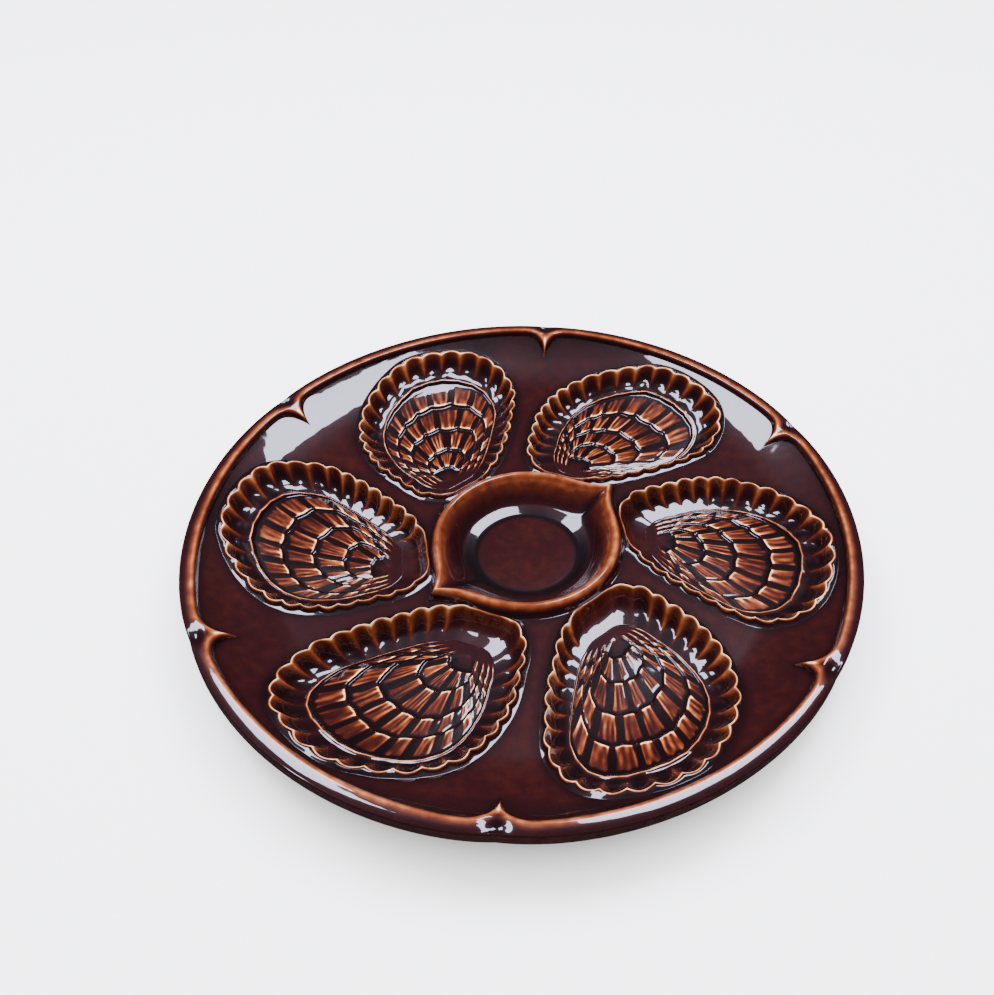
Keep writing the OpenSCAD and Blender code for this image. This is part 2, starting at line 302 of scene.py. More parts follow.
def arc_lengths(p):
    """Length along the closed line p at each point, and the whole length."""
    step = np.linalg.norm(np.roll(p, -1, 0) - p, axis=1)
    return np.concatenate([[0], np.cumsum(step)[:-1]]), step.sum()


def closest(points, line):
    """How far each point is from the nearest point of a line."""
    out = np.empty(len(points))
    for start in range(0, len(points), CHUNK):
        part = points[start:start + CHUNK]
        gaps = np.hypot(part[:, None, 0] - line[None, :, 0], part[:, None, 1] - line[None, :, 1])
        out[start:start + CHUNK] = np.min(gaps, axis=1)
    return out


def turned(points, angle):
    """Points turned about the plate's axis."""
    c = math.cos(angle)
    s = math.sin(angle)
    out = points.copy()
    out[:, 0] = points[:, 0] * c - points[:, 1] * s
    out[:, 1] = points[:, 0] * s + points[:, 1] * c
    return out


# Meshes
NO_TRIS = np.zeros((0, 3), int)


class Skin:
    """A closed mesh built from rings that run anticlockwise from a point underneath to one on top."""

    def __init__(self):
        self.rings = []
        self.tones = []

    def ring(self, xy, z, tone):
        """Adds a ring, or a single point, with one height and tone or one for each of its points."""
        n = len(xy)
        self.rings.append(np.column_stack([xy, np.broadcast_to(z, n)]))
        self.tones.append(np.broadcast_to(tone, n).astype(float))

    def data(self):
        """The vertices, quads, triangles and tones."""
        starts = np.cumsum([0] + [len(r) for r in self.rings])
        quads = []
        tris = []
        for a, b, lower, upper in zip(starts, starts[1:], self.rings, self.rings[1:]):
            n = max(len(lower), len(upper))
            i = np.arange(n)
            j = (i + 1) % n
            if len(lower) == 1:
                tris.append(np.column_stack([np.full(n, a), b + j, b + i]))
            elif len(upper) == 1:
                tris.append(np.column_stack([a + i, a + j, np.full(n, b)]))
            else:
                quads.append(np.column_stack([a + i, a + j, b + j, b + i]))
        return (np.concatenate(self.rings), np.concatenate(quads), np.concatenate(tris),
                np.concatenate(self.tones))


def deck_normals(points):
    """The way the deck faces at each point, up to and into the cove."""
    r = np.hypot(points[:, 0], points[:, 1])
    step = 0.01
    near = np.minimum(r, BAND_R) - 2 * step
    slope = (deck_z(near + step) - deck_z(near - step)) / (2 * step)
    out = np.column_stack([-slope * points[:, 0] / r, -slope * points[:, 1] / r, np.ones(len(r))])
    return out / np.linalg.norm(out, axis=1, keepdims=True)


def on_seam(verts, seam):
    """Which vertices stand on the closed line where a region meets the deck."""
    keys = {(round(x, 3), round(y, 3)) for x, y in seam}
    on_line = np.array([(round(x, 3), round(y, 3)) in keys for x, y in verts[:, :2]])
    over_deck = verts[:, 2] - deck_z(np.hypot(verts[:, 0], verts[:, 1]))
    return on_line & (np.abs(over_deck) < SEAM_NEAR)


def make_mesh(name, verts, quads, tris, tones, material, on_deck):
    """A Blender object from millimetre points, with the glaze's thinness and painted shade as an
    attribute.

    The vertices in on_deck are lit as the deck is, so that the regions meet without a line.
    """
    mesh = bpy.data.meshes.new(name)
    mesh.vertices.add(len(verts))
    mesh.vertices.foreach_set("co", (verts * MM).astype(np.float32).ravel())
    loops = np.concatenate([quads.ravel(), tris.ravel()]).astype(np.int32)
    sizes = np.concatenate([np.full(len(quads), 4), np.full(len(tris), 3)])
    starts = np.concatenate([[0], np.cumsum(sizes)[:-1]]).astype(np.int32)
    mesh.loops.add(len(loops))
    mesh.loops.foreach_set("vertex_index", loops)
    mesh.polygons.add(len(sizes))
    mesh.polygons.foreach_set("loop_start", starts)
    mesh.update(calc_edges=True)
    mesh.validate()
    mesh.shade_smooth()
    attribute = mesh.attributes.new("glaze_thin_and_shade", "FLOAT", "POINT")
    attribute.data.foreach_set("value", tones.astype(np.float32))
    normals = np.zeros((len(verts), 3))
    normals[on_deck] = deck_normals(verts[on_deck])
    mesh.normals_split_custom_set_from_vertices(normals.tolist())
    mesh.materials.append(material)
    piece = bpy.data.objects.new(name, mesh)
    bpy.context.collection.objects.link(piece)
    return piece


# Materials
def linear(level):
    """A level from 0 to 255 of a picture, made linear."""
    share = level / 255
    if share <= 0.04045:
        return share / 12.92
    return ((share + 0.055) / 1.055) ** 2.4


def srgb(r, g, b):
    """A colour as a picture shows it, made linear."""
    return linear(r), linear(g), linear(b), 1.0


def new_material(name):
    """A material with nodes, its tree and its shader."""
    material = bpy.data.materials.new(name)
    material.use_nodes = True
    return material, material.node_tree, material.node_tree.nodes["Principled BSDF"]


def link(tree, a, out, b, into):
    """Joins output out of node a to input into of node b."""
    tree.links.new(a.outputs[out], b.inputs[into])


def math_node(tree, operation, *sources):
    """A maths node, each of whose inputs is a number, or a node and the name of its output."""
    node = tree.nodes.new("ShaderNodeMath")
    node.operation = operation
    for i, source in enumerate(sources):
        if isinstance(source, tuple):
            link(tree, source[0], source[1], node, i)
        else:
            node.inputs[i].default_value = source
    return node


def noise_node(tree, place, scale, detail):
    """Noise through the object, in cells per metre, with finer and finer layers as its detail."""
    node = tree.nodes.new("ShaderNodeTexNoise")
    node.inputs["Scale"].default_value = scale
    node.inputs["Detail"].default_value = detail
    link(tree, place, "Object", node, "Vector")
    return node


# Colours of the glaze from where it pools to where it is thinnest
GLAZE_STOPS = [
    (0.00, srgb(6, 2, 3)),
    (0.16, srgb(25, 5, 6)),
    (0.34, srgb(48, 16, 8)),
    (0.55, srgb(88, 40, 18)),
    (0.76, srgb(132, 78, 46)),
    (1.00, srgb(205, 165, 124)),
]
MOTTLE_SCALE = 260
MOTTLE_SHARE = 0.9
CLOUD_SCALE = 38
CLOUD_DEPTH = 0.10
RIPPLE_SCALE = 70
RIPPLE_STRENGTH = 0.35
RIPPLE_DEPTH_M = 0.0004
CLAY_DARK = srgb(126, 84, 58)
CLAY_PALE = srgb(182, 138, 104)
SPECKLE_SCALE = 450
FOOT_GLAZE = srgb(44, 16, 12)
# Where the foot's glaze starts and is whole, and how ragged that line is, in metres up
FOOT_LINE_M = (0.0014, 0.0018)
FOOT_RAGGED_M = 0.0015
CLAY_ROUGHNESS = 0.85
FOOT_GLAZE_ROUGHNESS = 0.12


def glaze_material():
    """The glaze, whose colour follows the thinness, and in places the painted shade, that each vertex
    carries.
    """
    material, tree, shader = new_material("brown_glaze")
    shader.inputs["Roughness"].default_value = 0.35
    shader.inputs["IOR"].default_value = 1.5
    shader.inputs["Specular IOR Level"].default_value = 0.08
    shader.inputs["Coat Weight"].default_value = 1.0
    shader.inputs["Coat Roughness"].default_value = 0.035
    shader.inputs["Coat IOR"].default_value = 1.52

    thin_and_shade = tree.nodes.new("ShaderNodeAttribute")
    thin_and_shade.attribute_name = "glaze_thin_and_shade"
    place = tree.nodes.new("ShaderNodeTexCoord")
    mottle = noise_node(tree, place, MOTTLE_SCALE, 4)
    cloud = noise_node(tree, place, CLOUD_SCALE, 3)

    # Mottling follows the thinness, so that the pooled glaze stays even
    centred = math_node(tree, "SUBTRACT", (mottle, "Fac"), 0.5)
    strength = math_node(tree, "MULTIPLY", (centred, 0), (thin_and_shade, "Fac"))
    mottled = math_node(tree, "MULTIPLY_ADD", (strength, 0), MOTTLE_SHARE, (thin_and_shade, "Fac"))
    clouded = math_node(tree, "MULTIPLY_ADD", (cloud, "Fac"), CLOUD_DEPTH, (mottled, 0))
    settled = math_node(tree, "SUBTRACT", (clouded, 0), CLOUD_DEPTH / 2)

    ramp = tree.nodes.new("ShaderNodeValToRGB")
    stops = ramp.color_ramp.elements
    stops[0].position, stops[0].color = GLAZE_STOPS[0]
    stops[1].position, stops[1].color = GLAZE_STOPS[-1]
    for position, colour in GLAZE_STOPS[1:-1]:
        stops.new(position).color = colour
    link(tree, settled, 0, ramp, "Fac")
    link(tree, ramp, "Color", shader, "Base Color")

    # A faint ripple, as on poured glaze
    ripple = noise_node(tree, place, RIPPLE_SCALE, 2)
    raised = tree.nodes.new("ShaderNodeBump")
    raised.inputs["Strength"].default_value = RIPPLE_STRENGTH
    raised.inputs["Distance"].default_value = RIPPLE_DEPTH_M
    link(tree, ripple, "Fac", raised, "Height")
    link(tree, raised, "Normal", shader, "Normal")
    link(tree, raised, "Normal", shader, "Coat Normal")
    return material


def foot_material():
    """Bare speckled clay on the edge that stands on the table, and glaze above a ragged line."""
    material, tree, shader = new_material("foot_clay")
    place = tree.nodes.new("ShaderNodeTexCoord")
    speckle = noise_node(tree, place, SPECKLE_SCALE, 5)
    split = tree.nodes.new("ShaderNodeSeparateXYZ")
    link(tree, place, "Object", split, "Vector")
    ragged = math_node(tree, "MULTIPLY_ADD", (speckle, "Fac"), FOOT_RAGGED_M, (split, "Z"))
    glazed = tree.nodes.new("ShaderNodeMapRange")
    glazed.inputs["From Min"].default_value = FOOT_LINE_M[0]
    glazed.inputs["From Max"].default_value = FOOT_LINE_M[1]
    link(tree, ragged, 0, glazed, "Value")

    clay = tree.nodes.new("ShaderNodeValToRGB")
    clay.color_ramp.elements[0].color = CLAY_DARK
    clay.color_ramp.elements[1].color = CLAY_PALE
    link(tree, speckle, "Fac", clay, "Fac")
    colour = tree.nodes.new("ShaderNodeMix")
    colour.data_type = "RGBA"
    first, second = [socket for socket in colour.inputs if socket.type == "RGBA"]
    blended = next(socket for socket in colour.outputs if socket.type == "RGBA")
    link(tree, glazed, "Result", colour, "Factor")
    tree.links.new(clay.outputs["Color"], first)
    second.default_value = FOOT_GLAZE
    tree.links.new(blended, shader.inputs["Base Color"])

    rough = tree.nodes.new("ShaderNodeMapRange")
    rough.inputs["To Min"].default_value = CLAY_ROUGHNESS
    rough.inputs["To Max"].default_value = FOOT_GLAZE_ROUGHNESS
    link(tree, glazed, "Result", rough, "Value")
    link(tree, rough, "Result", shader, "Roughness")
    return material


glaze = glaze_material()

# Lines that all six wells share: the crest, the way out from the bowl, and the flank's foot on the deck
CREST_PLACES = np.array([[UMBO_X + a * WELL_L, b * WELL_W] for a, b in CREST_SHARES])
CREST = spline_closed(CREST_PLACES, RUFFLE_PARTS)
AWAY = (CREST - BOWL_CENTRE) / np.linalg.norm(CREST - BOWL_CENTRE, axis=1, keepdims=True)
SIDES = len(CREST)
CREST_R = np.linalg.norm(CREST, axis=1)
CREST_X_SHARE = (CREST[:, 0] - UMBO_X) / WELL_L
# How high the crest stands, lower where it touches the cup
STAND = mix(STAND_AT_CUP, 1.0, np.clip((CREST_R - UMBO_X) / (2 * FLANK_W), 0, 1))
# 1 on the wall by the cup, and 0 from two thirds of the well's length outwards
NEAR_CUP = 1 - smooth((CREST[:, 0] - UMBO_X) / (0.4 * WELL_L) - 0.65)
FLANK = CREST + AWAY * (FLANK_W * STAND + RUFFLE_OUT / 2)[:, None]
FLANK_Z = deck_z(np.linalg.norm(FLANK, axis=1))
WALL_IN = mix(WALL_IN_SHARE, WALL_IN_END_SHARE, np.clip((CREST_X_SHARE - 0.45) / 0.4, 0, 1))[:, None]


# Wells
def eased(distance, length):
    """From 0 at the crest to 1 at length, with the crest itself rounded."""
    return (np.hypot(distance, CREST_SOFT) - CREST_SOFT) / (np.hypot(length, CREST_SOFT) - CREST_SOFT)


def under_point(b):
    """Points on a well's back, from its edge at b = 0 inwards."""
    return mix(FLANK, BOWL_CENTRE, UNDER_IN_SHARE * b)


def under_height(b):
    """Height of a well's back at under_point(b)."""
    return mix(floor_z(under_point(b)), FLANK_Z, (1 - b) ** UNDER_POWER) - WALL_T


class Well:
    """One well with its own ruffles and rows of scales.

    Its methods are called in the order they stand in, with row() from the outermost row inwards:
    each adds the next rings, and draws on the same random numbers.
    """

    def __init__(self, seed):
        rng = np.random.default_rng(seed)
        self.rng = rng
        self.skin = Skin()
        index = np.arange(SIDES) // RUFFLE_PARTS
        f = (np.arange(SIDES) % RUFFLE_PARTS) / RUFFLE_PARTS
        self.along_ruffle = f
        swells = np.ones(PLACES)
        swells[EVEN_PLACES] = 0
        swells[WEAK_PLACES] = 0.5
        swells *= rng.uniform(0.8, 1.15, PLACES)
        self.swell = swells[index] * np.sin(math.pi * f)

        side_step = np.linalg.norm(np.roll(CREST, -1, 0) - CREST, axis=1)
        self.to_cusp = np.minimum(f, 1 - f) * side_step * RUFFLE_PARTS
        nearest = np.where(f < 0.5, index, (index + 1) % PLACES)
        pleats = rng.uniform(0.55, 1.0, PLACES)
        pleats[EVEN_PLACES + WEAK_PLACES] *= 0.2
        self.pleat = pleats[nearest]
        self.pleat_reach = rng.uniform(0.6, 1.0, PLACES)[nearest]
        halos = rng.uniform(0, 1, PLACES)
        self.halo = mix(halos[index], np.roll(halos, -1)[index], smooth(f))

        around, perimeter = arc_lengths(CREST)
        far = np.clip((CREST_R - LEVEL_R) / (BAND_R - LEVEL_R), 0, None)
        crest_top = deck_z(CREST_R) + CREST_H * STAND * (1 - CREST_FALL_SHARE * far)
        waver = CREST_WAVER * wobble(rng, around, perimeter, 6)
        self.crest_top = crest_top + CREST_SWELL * self.swell + waver
        self.crest = CREST + AWAY * (RUFFLE_OUT * self.swell)[:, None]
        self.mottled = 0.85 + 0.15 * wobble(rng, around, perimeter, 24)
        self.foot = mix(CREST, BOWL_CENTRE, WALL_IN)
        self.foot = self.foot + AWAY * (RUFFLE_OUT * RUFFLE_FOOT_SHARE * self.swell)[:, None]

    def edge_line(self, distance, strength, width):
        """The bright line on the crest, weaker where the crest is low."""
        return strength * self.mottled * bump(distance, width) * np.clip(STAND, 0.3, 1)

    def under(self):
        """The back, from the flat under the floor out to the edge."""
        self.skin.ring(UMBO[None], FLOOR_H - WALL_T, UNDER_TONE)
        for k in (0.25, 0.5, 0.75):
            p = mix(UMBO, under_point(1.0), k)
            self.skin.ring(p, floor_z(p) - WALL_T, UNDER_TONE)
        for b in UNDER_STEPS:
            self.skin.ring(under_point(b), under_height(b), UNDER_TONE)
        self.skin.ring(FLANK, FLANK_Z - WALL_T, UNDER_TONE)

    def flank(self):
        """From the deck up to the crest, with the glaze pooled dark at its foot."""
        length = np.linalg.norm(FLANK - self.crest, axis=1)
        for e in FLANK_STEPS:
            distance = e * length
            slope = FLANK_Z + FLANK_SLOPE * (length - distance)
            ridge = self.crest_top - FLANK_Z - FLANK_SLOPE * length
            z = slope + ridge * (1 - eased(distance, length)) ** FLANK_POWER
            pooled = 0.06 - 0.05 * smooth((1 - e) / 0.3)
            warm = 0.16 * np.exp(-distance / 0.6)
            tone = pooled + self.edge_line(distance, 0.8, 0.36) + warm
            self.skin.ring(mix(self.crest, FLANK, e), z, tone)

    def wall(self):
        """From the crest down to the foot, in pockets between pleats."""
        swell = self.swell
        halo = self.halo
        length = np.linalg.norm(self.foot - self.crest, axis=1)
        foot_z = floor_z(self.foot) - FOOT_SINK
        cup_slant = CUP_WALL_SLOPE * length / (self.crest_top - foot_z)
        for a in WALL_STEPS:
            p = mix(CREST, BOWL_CENTRE, WALL_IN * a)
            p = p + AWAY * (RUFFLE_OUT * swell * (1 - (1 - RUFFLE_FOOT_SHARE) * a))[:, None]
            distance = a * length
            left = 1 - eased(distance, length)
            far_fall = WALL_SLANT * left + (1 - WALL_SLANT) * left ** WALL_POWER
            cup_fall = cup_slant * left + (1 - cup_slant) * left ** CUP_WALL_POWER
            z = mix(foot_z, self.crest_top, mix(far_fall, cup_fall, NEAR_CUP))
            hollow = math.sin(math.pi * min(1, a / POCKET_END)) ** POCKET_POWER
            z = z - POCKET_H * swell * (1 - 0.75 * NEAR_CUP) * hollow
            fold = math.sin(math.pi * min(1, a / PLEAT_END)) ** 0.8
            z = z + PLEAT_H * self.pleat * bump(self.to_cusp, PLEAT_W) * fold

            in_pocket = np.clip(swell, 0, 1) * smooth((distance - 0.7) / 2.2)
            body = mix(0.19, 0.15, smooth(STAND)) - 0.13 * in_pocket
            warm = (0.16 + 0.18 * halo) * np.exp(-distance / (0.9 + 0.8 * halo)) * STAND
            run = np.clip(1 - a / self.pleat_reach, 0, 1)
            wedge = bump(self.to_cusp, 0.35 + 1.5 * run)
            wedge = self.pleat * STAND * (0.16 + 0.36 * run) * wedge * smooth(run * 4)
            tone = body + self.edge_line(distance, 0.72, 0.34) + warm + wedge
            self.skin.ring(p, z, np.clip(tone, 0, 1))

    def lay_out_rows(self):
        """Where each row's nosing runs, as a share of the way from the umbo to the wall's foot."""
        rng = self.rng
        self.umbo = UMBO + rng.uniform(-1, 1, 2)
        self.ray = self.foot - self.umbo
        self.reach = np.linalg.norm(self.ray, axis=1)
        self.heading = np.unwrap(np.arctan2(self.ray[:, 1], self.ray[:, 0]))
        around, perimeter = arc_lengths(self.foot)
        self.shares = np.array(ROW_SHARES)
        self.shares[:-1] += rng.uniform(-0.012, 0.012, ROWS - 1)
        drift = 0.16 * wobble(rng, around, perimeter, 9)
        phase = rng.uniform(0, 1)
        room = np.clip(self.reach / ROW_ROOM_REACH, 0.15, 1) ** 2
        self.lines = []
        self.in_tile = []
        self.tile_ids = []
        for j, share in enumerate(self.shares):
            place = self.heading / (2 * math.pi / RIB_COUNTS[j]) + drift + phase
            if j == ROWS - 1:
                t = self.along_ruffle
                scallop_mm = LAST_ROW_SCALLOP
                waver_mm = LAST_ROW_WAVER
            else:
                t = (place + rng.uniform(-0.12, 0.12)) % 1
                scallop_mm = ROW_SCALLOP * room
                waver_mm = ROW_WAVER * room
            scallop = (np.abs(np.sin(math.pi * t)) - 0.6) * scallop_mm
            waver = waver_mm * wobble(rng, around, perimeter, 6)
            shift_mm = (scallop + waver) * np.clip(share * 2.2, 0, 1)
            self.lines.append(share - shift_mm / np.maximum(self.reach, ROW_MIN_REACH))
            self.in_tile.append(t)
            self.tile_ids.append(np.floor(place).astype(int))
        first_line = np.maximum(self.lines[0], HOLLOW_R / self.reach)
        self.lines[0] = np.minimum(first_line, self.lines[1] - 0.05)
        gaps = self.shares - np.concatenate([[0], self.shares[:-1]])
        self.risers = [np.minimum(RISER_W / self.reach, RISER_MAX_SHARE * gap) for gap in gaps]
        self.low_step = np.clip(self.reach / ROW_STEP_REACH, 0.3, 1) ** 1.3

    def wholeness(self, extra):
        """1 where the rows are whole, down to 0 towards the cup, where they die away."""
        return smooth((np.cos(self.heading - ROW_HEADING) - 0.02 + extra) / 0.5)

    def row_wholeness(self, j):
        """The outer rows reach further round than the inner ones."""
        return self.wholeness(0.2 * self.shares[j])

    def row_step(self, j):
        """How high the riser of row j stands at each side."""
        return ROW_STEPS[j] * self.low_step * self.row_wholeness(j)

    def row(self, j):
        """One row: a dark foot before the next riser, a ribbed tread, a bright nosing and the riser.
        The dark foot is pooled glaze and painted shade in the trough.
        """
        rng = self.rng
        reach = self.reach
        heading = self.heading
        is_last = j == ROWS - 1
        step = self.row_step(j)
        full = self.row_wholeness(j)
        shown = np.clip(full * 1.8, 0, 1)
        line = self.lines[j]
        if is_last:
            outer = np.ones(SIDES)
            step_out = 0.2 * step
        else:
            outer = self.lines[j + 1] - self.risers[j + 1]
            step_out = self.row_step(j + 1)
        t = self.in_tile[j]
        pitch = 2 * math.pi / RIB_COUNTS[j]
        # Width of the dark foot band: pooled glaze and painted shade in the trough before the next
        # riser
        shade_band_mm = np.clip(0.22 * (outer - line) * reach, 0.5, 2.4)
        tone = rng.uniform(0.6, 1.0, BRICK_TONES)[self.tile_ids[j] % BRICK_TONES]
        tone = np.convolve(np.concatenate([tone[-2:], tone, tone[:2]]), np.ones(5) / 5, "valid")
        streaks = [grain(rng, heading, 50, 150) for _ in range(3)]
        blotch = wobble(rng, heading, 2 * math.pi, 40)
        pitch_mm = pitch * reach * mix(line, outer, 0.5)
        unevenness = 1 + 0.4 * wobble(rng, heading, 2 * math.pi, 24)
        gap_half = np.clip(0.19 * pitch_mm, 0.4, 1.1) * unevenness
        roomy = np.zeros(SIDES) if is_last else smooth((pitch_mm - 1.6) / 1.6) * full
        tread_steps = LAST_TREAD_STEPS if is_last else TREAD_STEPS
        for w in tread_steps:
            k = mix(line, outer, w)
            p = self.umbo + self.ray * k[:, None]
            from_nose = np.abs(k - line) * reach
            to_foot = np.abs(outer - k) * reach
            edge_mm = np.minimum(t, 1 - t) * pitch * reach * k
            veins = mix(mix(streaks[0], streaks[1], smooth(w * 2)), streaks[2], smooth(w * 2 - 1))
            ragged = edge_mm - gap_half + 0.16 * veins
            past_foot = to_foot - shade_band_mm * 0.45

            height = mix(0.5 * step, -0.5 * step_out, w)
            rounding = NOSE_ROUND_SHARE * step * bump(from_nose, NOSE_W)
            raised = smooth(ragged / 0.9) * smooth(past_foot / 0.9)
            relief = BRICK_H * (raised - 0.5) * roomy * smooth(from_nose / 0.8)

            streak = np.clip(0.5 + 0.36 * veins + 0.8 * blotch * math.sin(3 * w + j), 0, 1.2)
            streak = streak * (1 - 0.3 * w)
            brick = smooth(ragged / 0.55) * smooth((past_foot + 0.25 * veins) / 0.9)
            sides = bump(edge_mm - gap_half - 0.45, 0.4)
            tread = 0.13 + 0.52 * streak * tone + 0.20 * sides * tone + 0.22 * np.exp(-from_nose / 1.8)
            # The tone falls at the tread's foot as pooled glaze and painted shade in the trough before
            # the next riser
            thin_and_shade = 0.015 + tread * brick * roomy + 0.10 * (1 - roomy) * smooth((to_foot - 0.4) / 1.0)
            nose = bump(from_nose, 0.42) * (0.55 + 0.35 * tone) * mix(1, 0.15 + 0.85 * brick, roomy)
            thin_and_shade = mix(ROW_END_TONE, thin_and_shade * (0.2 if is_last else 1) + nose, shown)
            self.skin.ring(p, floor_z(p) + height - rounding + relief, np.clip(thin_and_shade, 0, 1))
        for q in RISER_STEPS:
            p = self.umbo + self.ray * (line - self.risers[j] * q)[:, None]
            z = floor_z(p) + mix(0.5 * step, -0.5 * step, smooth(q)) - NOSE_ROUND_SHARE * step * (1 - q)
            # The riser darkens towards its foot: pooled glaze and painted shade in the trough
            self.skin.ring(p, z, mix(ROW_END_TONE, mix(0.35, 0.0, min(1, q * 2)), shown))

    def umbo_hollow(self):
        """The smooth hollow at the umbo, inside the first row."""
        low = self.lines[0] - self.risers[0]
        for k in HOLLOW_STEPS:
            p = self.umbo + self.ray * (low * k)[:, None]
            # Darker towards the first row's riser: pooled glaze and painted shade in the trough
            trough_shade = smooth((k - 0.35) / 0.5) * self.wholeness(0)
            self.skin.ring(p, floor_z(p) - 0.5 * self.row_step(0) * k, mix(DECK_TONE, 0.02, trough_shade))
        self.skin.ring(self.umbo[None], FLOOR_H - 0.1, DECK_TONE)


def well_skin(seed):
    """The rings of one well."""
    well = Well(seed)
    well.under()
    well.flank()
    well.wall()
    well.lay_out_rows()
    for j in reversed(range(ROWS)):
        well.row(j)
    well.umbo_hollow()
    return well.skin


for i in range(WELL_COUNT):
    verts, quads, tris, tones = well_skin(WELL_SEED + i).data()
    on_deck = on_seam(verts, FLANK)
    verts = turned(verts, i * WELL_PITCH)
    piece = make_mesh(f"shell_well_{i + 1}", verts, quads, tris, tones, glaze, on_deck)
    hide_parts(f"well_{i + 1}")
    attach(piece, "root")


# Cup
def beak(angle):
    """How much of a beak is at an angle, and the distance to its middle."""
    off = (angle - BEAK_ANGLE) % math.pi
    off = np.minimum(off, math.pi - off)
    return np.exp(-off * CUP_R / BEAK_FADE), off * CUP_R


def cup_skin():
    """The rings of the sauce cup, and the line where it meets the deck."""
    side = np.arange(-BEAK_STEPS, BEAK_STEPS)
    half = np.sign(side) * (math.pi / 2) * (np.abs(side) / BEAK_STEPS) ** BEAK_CROWDING
    angle = np.concatenate([BEAK_ANGLE + half, BEAK_ANGLE + math.pi + half])
    point, off = beak(angle)
    ring_r = CUP_R + BEAK_L * point
    edge_r = ring_r + CUP_FLANK_W
    ray = polar(1, angle)
    glow = 0.06 * wobble(np.random.default_rng(CUP_SEED), angle, 2 * math.pi, 12)
    # Painted shade: 1 on the cup's two sides along X, where the inner wall is made darker
    shaded = np.cos(angle) ** 2
    skin = Skin()
    skin.ring(np.zeros((1, 2)), CUP_FLOOR_H - WALL_T, UNDER_TONE)
    for out, rise in CUP_UNDER:
        r = mix(CUP_FLOOR_R, edge_r, out)
        skin.ring(ray * r[:, None], mix(CUP_FLOOR_H, DECK_H, rise) - WALL_T, UNDER_TONE)
    skin.ring(ray * edge_r[:, None], DECK_H - WALL_T, UNDER_TONE)
    for e in CUP_FLANK_STEPS:
        r = ring_r + CUP_FLANK_W * e
        rise = 0.5 * (1 + np.cos(math.pi * e))
        tone = 0.05 + (0.54 + glow) * smooth(rise * 1.4 - 0.4)
        skin.ring(ray * r[:, None], mix(DECK_H, CUP_H, rise), tone)
    # Inner side: a rounded ridge, a steep wall and the moat round the floor's disc
    cone = CUP_CONE * (ring_r - CUP_FLOOR_R) / (CUP_H - CUP_FLOOR_H)
    for e in CUP_WALL_STEPS:
        r = mix(ring_r, CUP_FLOOR_R, e)
        inner = ring_r - r
        ridge = 1 - 0.10 * np.clip(inner / (2 * CUP_RIDGE_W), 0, 1) ** 2
        fall = np.clip((inner - CUP_RIDGE_W) / (ring_r - CUP_FLOOR_R - CUP_RIDGE_W), 0, 1)
        h = ridge * (cone * (1 - fall) + (1 - cone) * (1 - smooth(fall * 1.4)))
        # The wall's foot is dark where the glaze pools, and darker on the cup's sides along X as
        # painted shade
        foot = 0.02 + 0.10 * smooth((r - CUP_FLOOR_R) / 4) - 0.06 * shaded * smooth((inner - 2) / 3)
        wall = (0.21 + glow) * (1 - smooth((fall - 0.05) * 1.8))
        warm = 0.28 * np.exp(-inner / 2.2)
        tip = 0.25 * bump(inner, 1.2) * point
        groove = 0.14 * bump(off, 1.6) * smooth((inner - 1.5) / 2)
        skin.ring(ray * r[:, None], mix(CUP_FLOOR_H, CUP_H, h), foot + wall + warm + tip - groove)
    for r, dip, tone in CUP_DISC:
        skin.ring(ray * r, CUP_FLOOR_H - dip, tone)
    skin.ring(np.zeros((1, 2)), CUP_FLOOR_H + 0.06, 0.18)
    return skin, ray * edge_r[:, None]


cup, CUP_EDGE = cup_skin()
cup_data = cup.data()
piece = make_mesh("dressed_cup", *cup_data, glaze, on_seam(cup_data[0], CUP_EDGE))
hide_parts("sauce_cup")
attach(piece, "root")


# Rim
def cusp_curves(off):
    """The band's inner edge and the plate's edge at a distance off along the rim from a cusp."""
    near = np.exp(-off / CUSP_FADE)
    wide = np.exp(-off / (3 * CUSP_FADE))
    inner = BAND_R - CUSP_L * near + 2 * CUSP_SWING * wide * (1 - near)
    return inner, PLATE_R - EDGE_DIP * wide


